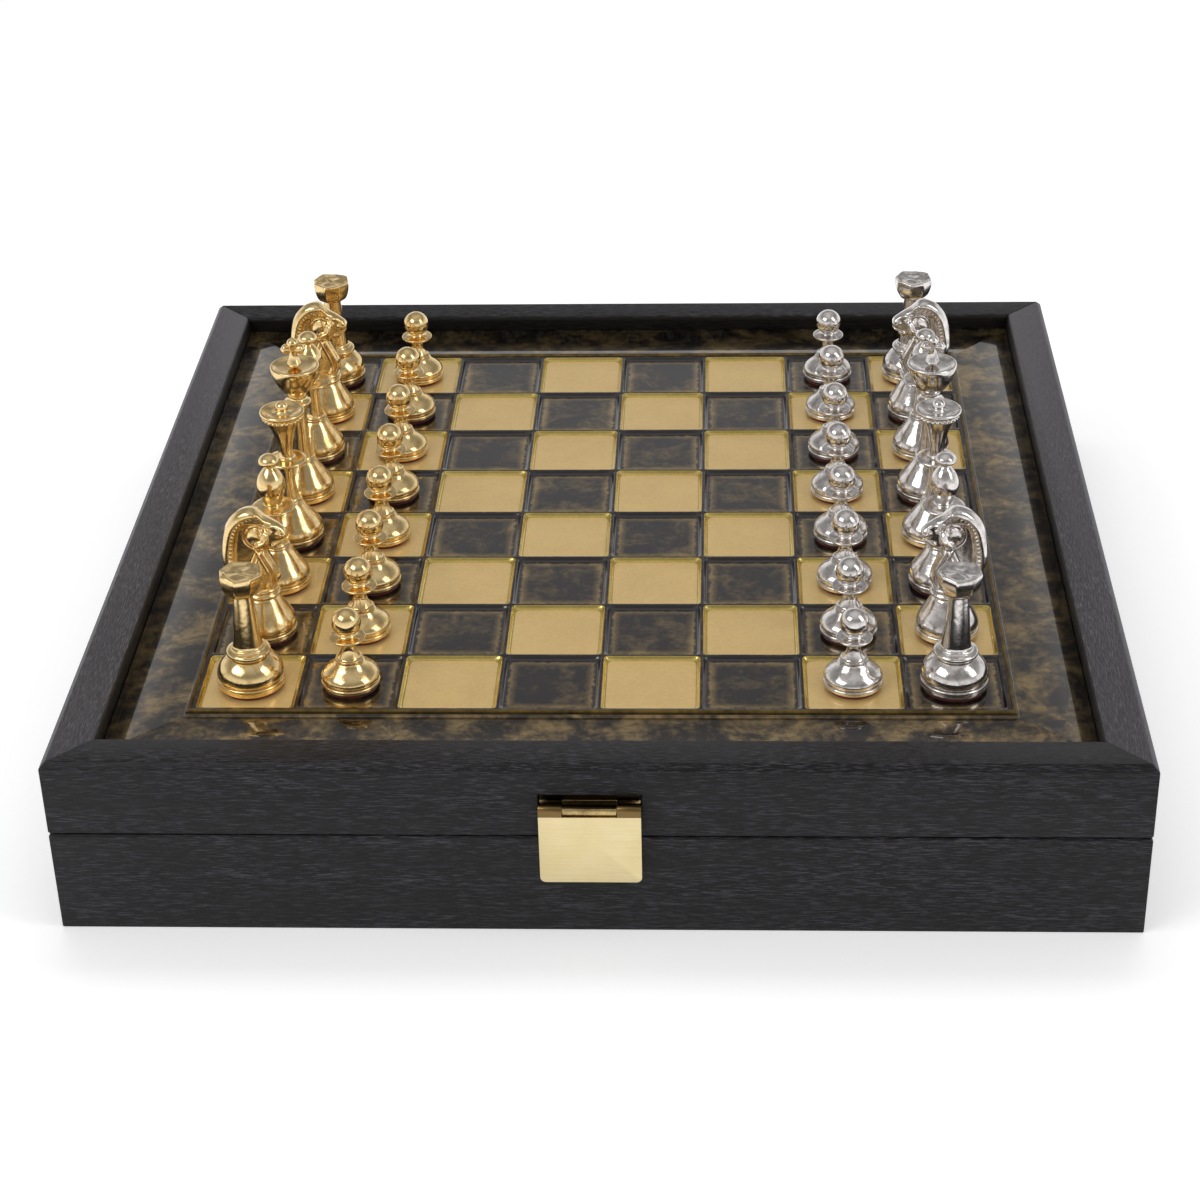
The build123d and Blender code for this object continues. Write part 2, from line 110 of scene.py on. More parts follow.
# How finely the round pieces and a square's side are divided
turned_sides = 64
queen_beads = 26
sides_per_bead = 6
rook_head_sides = 96
finial_sides = 28
felt_sides = 48
screw_sides = 48
square_side_points = 16


# Meshes


def weld(points, grid):
    """Joins points that fall together, and makes a triangle of a four-sided face that lost a side."""
    _, first, lookup = np.unique(points.round(5), axis=0, return_index=True, return_inverse=True)
    quads = lookup.reshape(-1)[grid]
    gone = quads == np.roll(quads, -1, axis=1)
    is_whole = ~gone.any(axis=1)
    is_triangle = gone.sum(axis=1) == 1
    triangles = quads[is_triangle][~gone[is_triangle]].reshape(-1, 3)
    return points[first], quads[is_whole], triangles, is_whole, is_triangle


def ring_faces(shape):
    """Corner numbers of the four-sided faces of a grid of points whose rows are closed rings."""
    index = np.arange(shape[0] * shape[1]).reshape(shape[:2])
    index = np.hstack([index, index[:, :1]])
    corners = (index[:-1, :-1], index[:-1, 1:], index[1:, 1:], index[1:, :-1])
    return np.stack(corners, axis=-1).reshape(-1, 4)


def solid(name, surfaces, finishes, body, stands_for=(), place=(0, 0, 0), turn=1):
    """Joins surfaces into one smooth mesh in its place.

    A surface is (points, faces, finish number or one per face). turn is 1, or -1 to face the
    other way: x and y change sign, which is half a turn about Z.
    """
    points, faces, picks, start = [], [], [], 0
    for grid, quads, pick in surfaces:
        points.append(grid.reshape(-1, 3))
        faces.append(quads + start)
        picks.append(np.broadcast_to(pick, len(quads)))
        start += len(points[-1])
    picks = np.concatenate(picks)
    points, whole, triangles, is_whole, is_triangle = weld(np.vstack(points), np.vstack(faces))
    points = points * (turn, turn, 1) + place
    mesh = bpy.data.meshes.new(name)
    mesh.from_pydata((points / per_metre).tolist(), [], whole.tolist() + triangles.tolist())
    for finish in finishes:
        mesh.materials.append(finish)
    order = np.concatenate([picks[is_whole], picks[is_triangle]]).astype(np.int32)
    mesh.polygons.foreach_set("material_index", order)
    mesh.polygons.foreach_set("use_smooth", np.ones(len(mesh.polygons), bool))
    mesh.update()
    piece = bpy.data.objects.new(name, mesh)
    bpy.context.scene.collection.objects.link(piece)
    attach(piece, body)
    if stands_for:
        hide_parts(*stands_for)
    return piece


def rounded(outline, rounds=3):
    """Cuts every corner of an outline at a quarter and three quarters of its sides, again and again.

    The result is a smooth curve that touches the middle of each side, and the two ends stay.
    """
    curve = np.array(outline, float)
    for _ in range(rounds):
        near = 0.75 * curve[:-1] + 0.25 * curve[1:]
        far = 0.25 * curve[:-1] + 0.75 * curve[1:]
        middle = np.stack([near, far], axis=1).reshape(-1, curve.shape[1])
        curve = np.vstack([curve[:1], middle, curve[-1:]])
    return curve


def round_ball(radius, height, start, count):
    """A ball's outline from an angle above its middle up to its top, as (distance from axis, height)."""
    angle = np.radians(np.linspace(start, 90, count))
    return np.column_stack([radius * np.cos(angle), height + radius * np.sin(angle)])


def turned(outline, count=turned_sides, beads=None, bead_count=0):
    """Carries an outline (distance from axis, height) once round the upright axis.

    x = r cos a and y = r sin a. beads is how far each outline point swells at the crests of
    bead_count waves round the axis.
    """
    angle = np.linspace(0, 2 * np.pi, count, endpoint=False)
    one = np.ones(count)
    radius = outline[:, :1] * one
    if beads is not None:
        radius = radius + beads[:, None] * (np.abs(np.cos(bead_count * angle / 2)) - 0.6)
    height = outline[:, 1:2] * one
    points = np.stack([radius * np.cos(angle), radius * np.sin(angle), height], axis=-1)
    return points, ring_faces(points.shape)


def eased(node, width, finish):
    """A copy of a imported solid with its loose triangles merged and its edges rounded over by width."""
    source = frame["nodes"][node]
    piece = bpy.data.objects.new(node + "_eased", source.data.copy())
    bpy.context.scene.collection.objects.link(piece)
    mesh = piece.data
    mesh.materials.clear()
    mesh.materials.append(finish)
    work = bmesh.new()
    work.from_mesh(mesh)
    bmesh.ops.remove_doubles(work, verts=work.verts, dist=2e-6)
    bmesh.ops.dissolve_limit(work, angle_limit=0.02, verts=work.verts, edges=work.edges)
    work.to_mesh(mesh)
    work.free()
    mesh.polygons.foreach_set("use_smooth", np.ones(len(mesh.polygons), bool))
    edge = piece.modifiers.new("soft edge", "BEVEL")
    edge.width = width / per_metre
    edge.segments = 2
    edge.limit_method = "ANGLE"
    edge.angle_limit = np.radians(30)
    edge.harden_normals = True
    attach(piece, source["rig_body"])
    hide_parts(node)


# Shader parts


def feed(tree, node, inputs):
    """Gives each socket, by name or number, a plain value or the output that feeds it."""
    for key, value in dict(inputs).items():
        socket = node.inputs[key]
        if isinstance(value, bpy.types.NodeSocket):
            tree.links.new(value, socket)
        elif socket.type == "RGBA":
            socket.default_value = (*value, 1)
        else:
            socket.default_value = value


def put(tree, kind, inputs=(), **settings):
    """Adds a node with its settings and feeds its sockets."""
    made = tree.nodes.new(kind)
    for key, value in settings.items():
        setattr(made, key, value)
    feed(tree, made, inputs)
    return made


def combine(tree, operation, *values, clamp=False):
    """The result of one operation on values or outputs."""
    made = put(tree, "ShaderNodeMath", enumerate(values), operation=operation, use_clamp=clamp)
    return made.outputs[0]


def mix(tree, share, first, second):
    """The colour a share of the way from the first to the second."""
    inputs = {0: share, 6: first, 7: second}
    return put(tree, "ShaderNodeMix", inputs, data_type="RGBA").outputs[2]


def ramp(tree, value, *stops):
    """Runs a value through stops, each (position, grey)."""
    made = put(tree, "ShaderNodeValToRGB", {0: value})
    elements = made.color_ramp.elements
    while len(elements) < len(stops):
        elements.new(1.0)
    for element, (position, grey) in zip(elements, stops):
        element.position = position
        element.color = (grey, grey, grey, 1)
    return made.outputs[0]


def squeezed(tree, vector, scale):
    """The vector with each of its three parts multiplied by its own scale."""
    return put(tree, "ShaderNodeMapping", {"Vector": vector, "Scale": scale}).outputs[0]


def noise(tree, vector, scale, detail=2.0, rough=0.5, warp=0.0):
    """Cloudy values from 0 to 1."""
    inputs = {
        "Vector": vector,
        "Scale": scale,
        "Detail": detail,
        "Roughness": rough,
        "Distortion": warp,
    }
    return put(tree, "ShaderNodeTexNoise", inputs).outputs["Fac"]


def effect(name, inputs, outputs):
    """A new node group: its tree, its inputs by name, and the node that takes its outputs."""
    tree = bpy.data.node_groups.new(name, "ShaderNodeTree")
    for label, kind, value in inputs:
        socket = tree.interface.new_socket(label, in_out="INPUT", socket_type=kind)
        if value is not None:
            socket.default_value = value
    for label, kind in outputs:
        tree.interface.new_socket(label, in_out="OUTPUT", socket_type=kind)
    return tree, put(tree, "NodeGroupInput").outputs, put(tree, "NodeGroupOutput")


def placed(tree, group, inputs):
    """Places a node group with its own values and returns its outputs by name."""
    return put(tree, "ShaderNodeGroup", inputs, node_tree=group).outputs


def new_finish(name):
    """A material: itself, its tree, its shader node and the piece's own coordinates."""
    material = bpy.data.materials.new(name)
    material.use_nodes = True
    tree = material.node_tree
    own_place = put(tree, "ShaderNodeTexCoord").outputs["Object"]
    return material, tree, tree.nodes["Principled BSDF"], own_place


def bump(tree, height, distance, strength):
    """The normal of a surface raised by a height of 0 to 1 times a distance."""
    inputs = {"Height": height, "Distance": distance, "Strength": strength}
    return put(tree, "ShaderNodeBump", inputs).outputs[0]


COLOR, FLOAT, VECTOR = "NodeSocketColor", "NodeSocketFloat", "NodeSocketVector"


def veneer_grain():
    """Open-pored veneer: fine broken lines along the grain over slow changes of tone.

    The grain runs along the vector's first part, which is squeezed less than the other two.
    """
    tree, given, out = effect(
        "veneer_grain",
        [
            ("Vector", VECTOR, None),
            ("Pore Amount", FLOAT, 0.5),
            ("Stain", COLOR, None),
            ("Pore", COLOR, None),
        ],
        [("Color", COLOR), ("Roughness", FLOAT), ("Height", FLOAT)],
    )
    fine = squeezed(tree, given["Vector"], (260, 4200, 4200))
    lines = noise(tree, fine, scale=1.0, detail=3.0, rough=0.6, warp=0.25)
    pores = ramp(tree, lines, (0.50, 0.0), (0.64, 1.0))
    slow = squeezed(tree, given["Vector"], (18, 150, 150))
    tone = noise(tree, slow, scale=1.0, detail=4.0, rough=0.55)
    patch = ramp(tree, tone, (0.32, 0.0), (0.72, 1.0))
    share = combine(tree, "MULTIPLY", pores, given["Pore Amount"])
    share = combine(tree, "MULTIPLY", share, combine(tree, "MULTIPLY_ADD", patch, 0.7, 0.45))
    dull = combine(tree, "MULTIPLY_ADD", tone, 0.18, 0.34)
    results = {
        "Color": mix(tree, share, given["Stain"], given["Pore"]),
        "Roughness": combine(tree, "MULTIPLY_ADD", pores, 0.16, dull),
        "Height": combine(tree, "SUBTRACT", 1.0, pores),
    }
    feed(tree, out, results)
    return tree


def patina_clouds():
    """Dark lacquer rubbed back in clouds: a mask from 0, dark, to 1, rubbed, and fine specks."""
    tree, given, out = effect(
        "patina_clouds",
        [("Vector", VECTOR, None), ("Scale", FLOAT, 30.0), ("Coverage", FLOAT, 0.5)],
        [("Mask", FLOAT), ("Speck", FLOAT)],
    )
    cloud = noise(tree, given["Vector"], given["Scale"], detail=6.0, rough=0.62, warp=0.6)
    fine_scale = combine(tree, "MULTIPLY", given["Scale"], 5.0)
    fine = noise(tree, given["Vector"], fine_scale, detail=4.0, rough=0.65, warp=0.2)
    both = combine(tree, "MULTIPLY_ADD", fine, 0.35, combine(tree, "MULTIPLY", cloud, 0.75))
    shift = combine(tree, "MULTIPLY_ADD", given["Coverage"], 0.3, -0.15)
    shifted = combine(tree, "ADD", both, shift)
    inputs = {"Value": shifted, "From Min": 0.48, "From Max": 0.78}
    mask = put(tree, "ShaderNodeMapRange", inputs, interpolation_type="SMOOTHSTEP").outputs[0]
    feed(tree, out, {"Mask": mask, "Speck": fine})
    return tree


def cast_skin():
    """What polishing leaves on a small casting: soft waves, fine pits and dull patches."""
    tree, given, out = effect(
        "cast_skin",
        [("Vector", VECTOR, None), ("Wave Scale", FLOAT, 260.0), ("Base Roughness", FLOAT, 0.12)],
        [("Roughness", FLOAT), ("Height", FLOAT), ("Dull", FLOAT)],
    )
    waves = noise(tree, given["Vector"], given["Wave Scale"], detail=2.0, rough=0.5, warp=0.3)
    pit_scale = combine(tree, "MULTIPLY", given["Wave Scale"], 9.0)
    pits = noise(tree, given["Vector"], pit_scale, detail=3.0, rough=0.6)
    dull = noise(tree, given["Vector"], 420.0, detail=4.0, rough=0.6)
    patch = ramp(tree, dull, (0.45, 0.0), (0.75, 1.0))
    soft = combine(tree, "MULTIPLY", waves, 0.88)
    results = {
        "Roughness": combine(tree, "MULTIPLY_ADD", patch, 0.12, given["Base Roughness"]),
        "Height": combine(tree, "MULTIPLY_ADD", pits, 0.12, soft),
        "Dull": patch,
    }
    feed(tree, out, results)
    return tree


grain_group, cloud_group, skin_group = veneer_grain(), patina_clouds(), cast_skin()


# Finishes


def stained_wood(name, quarter_turns, gloss, stain, pore):
    """Black-stained veneer with its grain along X, or along Y after a quarter turn.

    Wood within the inner reach is painted nearly black: painted shade on the faces that look inwards
    into the case.
    """
    material, tree, shader, own_place = new_finish(name)
    turn = {"Vector": own_place, "Rotation": (0, 0, quarter_turns * np.pi / 2)}
    along = put(tree, "ShaderNodeMapping", turn).outputs[0]
    inputs = {"Vector": along, "Pore Amount": 0.9, "Stain": stain, "Pore": pore}
    grain = placed(tree, grain_group, inputs)
    spot = put(tree, "ShaderNodeSeparateXYZ", {0: own_place}).outputs
    sideways = combine(tree, "ABSOLUTE", spot["X"])
    endways = combine(tree, "ABSOLUTE", spot["Y"])
    out_by = combine(tree, "MAXIMUM", sideways, endways)
    # Painted shade: the mask for the inward-facing faces, whose colour goes nearly black
    within = combine(tree, "LESS_THAN", out_by, painted_shade_reach / per_metre)
    look = {
        "Base Color": mix(tree, within, grain["Color"], (0.0030, 0.0022, 0.0014)),
        "Roughness": grain["Roughness"],
        "Specular IOR Level": gloss,
        "Normal": bump(tree, grain["Height"], 0.00009, 0.8),
    }
    feed(tree, shader, look)
    return material


def cast_metal(name, bright, shade, roughness):
    """Polished plated casting, a little duller and darker in patches."""
    material, tree, shader, own_place = new_finish(name)
    skin = placed(tree, skin_group, {"Vector": own_place, "Base Roughness": roughness})
    look = {
        "Base Color": mix(tree, skin["Dull"], bright, shade),
        "Roughness": skin["Roughness"],
        "Metallic": 0.97,
        "Normal": bump(tree, skin["Height"], 0.00022, 0.55),
    }
    feed(tree, shader, look)
    return material


def rubbed_halo(tree, clouds, strength):
    """Where a square is rubbed bright: a wandering line inside its edge, and faint clouds within.

    The line's place is the distance from the edge, moved to and fro by the specks.
    """
    inset = put(tree, "ShaderNodeAttribute", attribute_name="edge_distance").outputs["Fac"]
    nearer = combine(tree, "SUBTRACT", inset, 1.2)
    wander = combine(tree, "MULTIPLY_ADD", clouds["Speck"], 3.0, nearer)
    from_edge = combine(tree, "DIVIDE", wander, 10.0)
    ring = ramp(tree, from_edge, (0.22, 0.0), (0.30, 1.0), (0.35, 0.55), (0.50, 0.0))
    patchy = combine(tree, "MULTIPLY_ADD", clouds["Mask"], 0.5, 0.5)
    ring = combine(tree, "MULTIPLY", ring, combine(tree, "MULTIPLY", patchy, strength))
    inner = ramp(tree, combine(tree, "DIVIDE", inset, 10.0), (0.16, 0.0), (0.30, 0.6))
    faint = combine(tree, "MULTIPLY", clouds["Mask"], inner)
    return combine(tree, "ADD", ring, faint, clamp=True)


def lacquered(name, ochre, dark, scale, coverage, roughness, mirror=1.66, halo=0.0):
    """Dark lacquer over brass under a clear coat, rubbed back to ochre in clouds.

    mirror is the coat's index, which sets how strongly it mirrors. halo is how strongly a
    square is rubbed along its edge.
    """
    material, tree, shader, own_place = new_finish(name)
    inputs = {"Vector": own_place, "Scale": scale, "Coverage": coverage}
    clouds = placed(tree, cloud_group, inputs)
    mask = rubbed_halo(tree, clouds, halo) if halo else clouds["Mask"]
    look = {
        "Base Color": mix(tree, mask, dark, ochre),
        "Metallic": 0.85,
        "Roughness": roughness,
        "Specular IOR Level": 0.3,
        "Coat Weight": 1.0,
        "Coat Roughness": 0.025,
        "Coat IOR": mirror,
        "Normal": bump(tree, clouds["Speck"], 0.00004, 0.35),
    }
    feed(tree, shader, look)
    return material


def satin_brass(
    name, bright, shade, roughness, stretch, depth=0.00003, coat=0.0, metal=1.0, dark_above=None
):
    """Brass with fine brush lines, squeezed by stretch along x, y and z.

    dark_above is a level in millimetres and the colour of everything over it, which on the clasp's leaf
    is a painted shadow.
    """
    material, tree, shader, own_place = new_finish(name)
    brush = noise(tree, squeezed(tree, own_place, stretch), scale=1.0, detail=3.0, rough=0.6)
    cloud = noise(tree, own_place, scale=90.0, detail=3.0, rough=0.55)
    slow = combine(tree, "MULTIPLY", cloud, 0.45)
    share = combine(tree, "MULTIPLY_ADD", brush, 0.55, slow)
    tone = mix(tree, ramp(tree, share, (0.38, 0.0), (0.66, 1.0)), bright, shade)
    if dark_above:
        # Everything over the level takes the given colour, which for the clasp's leaf is a painted
        # shadow
        level, colour_over_level = dark_above
        height = put(tree, "ShaderNodeSeparateXYZ", {0: own_place}).outputs["Z"]
        over = combine(tree, "GREATER_THAN", height, level / per_metre)
        tone = mix(tree, over, tone, colour_over_level)
    look = {
        "Base Color": tone,
        "Roughness": combine(tree, "MULTIPLY_ADD", brush, 0.12, roughness - 0.06),
        "Metallic": metal,
        "Coat Weight": coat,
        "Coat Roughness": 0.05,
        "Normal": bump(tree, brush, depth, 0.5),
    }
    feed(tree, shader, look)
    return material


def woolly(name, bright, deep):
    """Short felt: crossed fibres, a soft nap, and sheen."""
    material, tree, shader, own_place = new_finish(name)
    fibre = noise(tree, own_place, scale=2600.0, detail=4.0, rough=0.7, warp=1.2)
    nap = noise(tree, own_place, scale=160.0, detail=3.0, rough=0.55)
    share = combine(tree, "MULTIPLY_ADD", fibre, 0.6, combine(tree, "MULTIPLY", nap, 0.4))
    look = {
        "Base Color": mix(tree, ramp(tree, share, (0.35, 0.0), (0.68, 1.0)), deep, bright),
        "Roughness": 0.95,
        "Sheen Weight": 0.4,
        "Normal": bump(tree, fibre, 0.00025, 0.6),
    }
    feed(tree, shader, look)
    return material


wood_x = stained_wood(
    "black_veneer_along_x",
    quarter_turns=0,
    gloss=0.25,
    stain=(0.0040, 0.0034, 0.0042),
    pore=(0.082, 0.075, 0.084),
)
# The same black veneer with its grain along Y, its stain and pore colours lightened as a painted sheen
# on the side rails' tops
wood_y_painted_sheen = stained_wood(
    "black_veneer_along_y_painted_sheen",
    quarter_turns=1,
    gloss=0.6,
    stain=(0.034, 0.030, 0.034),
    pore=(0.15, 0.138, 0.15),
)
gold_cast = cast_metal("gold_cast", (0.90, 0.67, 0.33), (0.62, 0.41, 0.14), roughness=0.13)
silver_cast = cast_metal("silver_cast", (0.80, 0.76, 0.73), (0.38, 0.34, 0.32), roughness=0.10)
# Red felt, its colour kept dark as painted shade under the foot's overhanging rim
red_felt_painted_shade = woolly("red_felt_painted_shade", (0.22, 0.01, 0.008), (0.08, 0.004, 0.003))
lining_felt = woolly("lining_felt", (0.10, 0.012, 0.014), (0.035, 0.004, 0.005))
margin_lacquer = lacquered(
    "margin_lacquer",
    (0.42, 0.285, 0.115),
    dark=(0.024, 0.017, 0.014),
    scale=78.0,
    coverage=0.56,
    roughness=0.25,
)
rib_lacquer = lacquered(
    "rib_lacquer",
    (0.20, 0.14, 0.05),
    dark=(0.026, 0.020, 0.020),
    scale=160.0,
    coverage=0.4,
    roughness=0.35,
    mirror=1.35,
)
dark_square = lacquered(
    "dark_square",
    (0.42, 0.285, 0.11),
    dark=(0.024, 0.018, 0.018),
    scale=90.0,
    coverage=0.45,
    roughness=0.28,
    halo=1.4,
)
gold_square = satin_brass(
    "gold_square",
    (0.74, 0.52, 0.205),
    shade=(0.66, 0.455, 0.175),
    roughness=0.45,
    stretch=(900, 900, 900),
    depth=0.00001,
    coat=0.8,
    metal=0.4,
)
gold_bevel = satin_brass(
    "gold_bevel",
    (0.74, 0.56, 0.17),
    shade=(0.56, 0.41, 0.10),
    roughness=0.2,
    stretch=(900, 900, 900),
    coat=0.3,
    metal=0.9,
)
bead_brass = satin_brass(
    "bead_brass",
    (0.24, 0.155, 0.04),
    shade=(0.06, 0.038, 0.016),
    roughness=0.3,
    stretch=(300, 300, 300),
    depth=0.00004,
    coat=0.3,
)
clasp_brass = satin_brass(
    "clasp_brass",
    (0.77, 0.65, 0.38),
    shade=(0.69, 0.56, 0.29),
    roughness=0.34,
    stretch=(60, 2500, 2500),
    dark_above=(flap_darker_level, (0.20, 0.13, 0.05)),
)
aged = {
    "bright": (0.62, 0.46, 0.20),
    "shade": (0.20, 0.13, 0.06),
    "roughness": 0.3,
    "stretch": (700, 700, 700),
    "depth": 0.00008,
}
knuckle_brass = satin_brass("knuckle_brass", **aged)
# Painted shadow: near black for the leaf above its level, standing for the shade in the recess it is set
# into
recess_painted_shadow = (0.022, 0.015, 0.008)
leaf_brass = satin_brass("leaf_brass", **aged, dark_above=(leaf_painted_shadow_level, recess_painted_shadow))
hinge_brass = satin_brass(
    "hinge_brass",
    (0.66, 0.48, 0.20),
    shade=(0.42, 0.28, 0.10),
    roughness=0.28,
    stretch=(2200, 90, 400),
)


# Outlines of the chessmen, each (distance from axis, height above the board)


def foot(radius, groove):
    """From the axis out: flat underside, rounded rim, turned groove and the round above it."""
    underside = felt_thick + 0.05
    return [
        (0, underside),
        (radius - 1.2, underside),
        (radius - 0.4, underside + 0.02),
        (radius - 0.02, underside + 0.45),
        (radius, groove - 1.0),
        (radius - 0.12, groove - 0.45),
        (radius - 0.85, groove - 0.15),
        (radius - 0.85, groove + 0.1),
        (radius - 0.35, groove + 0.25),
        (radius - 0.1, groove + 0.7),
    ]


def officer_bell(radius, ring):
    """The tall bell of an officer from its rim up to a ring: round below, hollow above."""
    wide, low, tall = radius - ring, 4.2, 9.4
    shares = ((0.03, 0.10), (0.12, 0.22), (0.34, 0.40), (0.58, 0.60), (0.80, 0.80), (0.94, 0.93))
    return [(radius - 0.15 - wide * inward, low + tall * up) for inward, up in shares]


def thin_ring(ring):
    """The thin ring over an officer's bell."""
    return [(ring - 0.35, 13.45), (ring, 13.65), (ring, 14.15), (ring - 0.55, 14.4)]


def pawn_outline():
    """A low bell with a small bead on its shoulder, a waist, a thin dished collar and a ball."""
    bell = [(8.45, 4.3), (7.8, 5.25), (6.8, 6.15), (5.8, 6.95), (4.9, 7.8), (4.2, 8.7)]
    bead = [(3.6, 8.95), (3.65, 9.1), (3.95, 9.25), (3.95, 9.6), (3.4, 9.75)]
    waist = [(3.05, 10.2), (2.3, 11.6), (1.95, 12.9), (2.0, 14.0), (2.7, 14.9)]
    collar = [(4.5, 15.6), (5.2, 16.0), (5.3, 16.5), (4.8, 16.75), (3.6, 16.7)]
    neck = [(2.6, 17.0), (2.3, 17.7)]
    stem = rounded(foot(foot_radius["pawn"], 2.9) + bell + bead + waist + collar + neck)
    return np.vstack([stem, round_ball(4.3, 21.2, -54, 16)])


def rook_outline():
    """A swelling bell, a heavy ring with a thin one above, and a tapered shaft into the head."""
    bell = [(9.65, 5.2), (9.4, 6.4), (8.6, 8.0), (7.2, 9.5), (6.0, 10.4), (5.5, 10.6)]
    heavy = [(5.5, 10.8), (6.1, 11.0), (6.5, 11.6), (6.35, 12.4), (5.6, 12.8), (5.1, 12.9)]
    thin = [(5.15, 13.2), (4.9, 13.6), (4.3, 13.8)]
    shaft = [(4.1, 15.5), (3.5, 22.0), (2.9, 29.6), (2.9, 31.2), (0, 31.4)]
    return rounded(foot(foot_radius["rook"], 3.7) + bell + heavy + thin + shaft)


def bishop_outline():
    """A tall bell, a thin ring, a wide thin collar, an egg on a foot and a flattened knob."""
    radius, ring = foot_radius["bishop"], 4.15
    stalk = [(3.1, 14.9), (2.7, 17.5), (2.4, 22.0), (2.4, 25.0)]
    collar = [(2.8, 26.0), (5.4, 26.4), (6.5, 26.8), (6.55, 27.4), (5.6, 27.7), (3.2, 27.7)]
    neck = [(2.5, 27.9), (2.5, 28.4)]
    egg = [(2.5, 28.4), (2.9, 29.4), (3.6, 31.2), (4.35, 33.4), (4.45, 35.2), (3.9, 37.3)]
    tip = [(2.6, 39.4), (1.5, 40.5), (1.35, 40.9)]
    knob = [(1.8, 41.3), (3.0, 41.8), (3.25, 42.7), (2.8, 43.8), (1.5, 44.7), (0, 45.0)]
    below = foot(radius, 3.4) + officer_bell(radius, ring) + thin_ring(ring)
    return np.vstack([rounded(below + stalk + collar + neck), rounded(egg + tip + knob)[1:]])


def queen_outline():
    """A tall bell, a ring, a collar, a flaring neck, a beaded rim, a dished disc and a small ball.

    Returns the outline and how far each of its points swells into the beads, which follows
    the sine of how far up the rim it is.
    """
    radius, ring = foot_radius["queen"], 3.95
    stalk = [(2.95, 14.9), (2.6, 17.5), (2.15, 22.0), (2.15, 25.4)]
    collar = [(2.5, 26.6), (5.0, 27.2), (6.2, 27.7), (6.3, 28.4), (5.4, 28.8), (3.0, 28.9)]
    neck = [(2.5, 29.3), (2.3, 30.4), (2.3, 32.0), (2.7, 35.0), (3.6, 38.6), (4.9, 41.4)]
    below = foot(radius, 3.5) + officer_bell(radius, ring) + thin_ring(ring)
    rim_foot, rim_top = (5.3, 42.2), (5.6, 43.7)
    stem = rounded(below + stalk + collar + neck + [rim_foot])
    rim = rounded([rim_foot, (5.9, 42.4), (6.2, 42.9), (6.0, 43.5), rim_top], 2)
    lip = [rim_top, (6.6, 44.0), (7.05, 44.6), (6.9, 45.3), (6.2, 45.5), (5.6, 45.2)]
    dish = [(4.6, 44.7), (3.2, 44.6), (2.6, 44.9), (2.3, 45.2)]
    ball = round_ball(2.0, 46.2, -28, 9)
    curve = np.vstack([stem, rim[1:-1], rounded(lip + dish), ball])
    reach, level = curve.T
    on_rim = (level > rim_foot[1]) & (level < rim_top[1] + 0.05) & (reach > 5.2)
    up = np.clip((level - rim_foot[1]) / 1.5, 0, 1)
    return curve, np.where(on_rim, 0.9, 0.0) * np.sin(up * np.pi)


def king_outline():
    """A tall bell, a ring, a long stem, a collar and a round cup with a hollow top."""
    radius, ring = foot_radius["king"], 4.25
    stalk = [(3.4, 15.0), (3.0, 18.0), (2.7, 25.0), (2.6, 31.6)]
    collar = [(2.8, 32.6), (3.9, 33.2), (4.4, 33.8), (4.3, 34.4), (3.3, 34.9), (2.8, 35.4)]
    cup = [(2.8, 36.4), (3.3, 37.2), (4.9, 38.8), (6.6, 41.6), (7.6, 44.6), (7.85, 46.2)]
    top = [(7.7, 46.8), (7.2, 47.0), (6.7, 46.8), (5.6, 46.2), (3.0, 45.9), (0, 45.9)]
    below = foot(radius, 3.5) + officer_bell(radius, ring) + thin_ring(ring)
    return rounded(below + stalk + collar + cup + top)


def knight_outline():
    """A bell under a heavy double collar, closed flat where the neck stands."""
    radius = foot_radius["knight"]
    lower = [(4.6, 13.4), (4.7, 13.7), (5.4, 14.0), (5.65, 14.7), (5.2, 15.3), (4.85, 15.5)]
    upper = [(5.1, 15.8), (5.35, 16.3), (5.05, 16.9), (4.2, 17.3), (2.0, 17.4), (0, 17.4)]
    return rounded(foot(radius, 3.4) + officer_bell(radius, 4.9) + lower + upper)


# Heads and finial of the chessmen


def spindle(ends, radii, across_at=None):
    """A round bar with a swelling outline: radii at equal steps between its ends, closed at both.

    It stands upright on the axis, or lies along X at the height across_at.
    """
    length = np.linspace(ends[0], ends[1], len(radii))
    points, faces = turned(rounded(np.column_stack([radii, length]), 2), finial_sides)
    if across_at is not None:
        x, y, z = points[..., 2], points[..., 0], points[..., 1] + across_at
        points = np.stack([x, y, z], axis=-1)
    return points, faces


def king_finial():
    """The finial's two crossing bars: a waisted upright and a shorter one across it."""
    upright = spindle((45.6, 56.55), (0, 2.6, 2.0, 1.35, 1.2, 1.35, 1.75, 1.9, 0))
    across = spindle((-4.1, 4.1), (0, 1.75, 1.55, 1.15, 1.15, 1.55, 1.75, 0), across_at=52.4)
    return [upright, across]


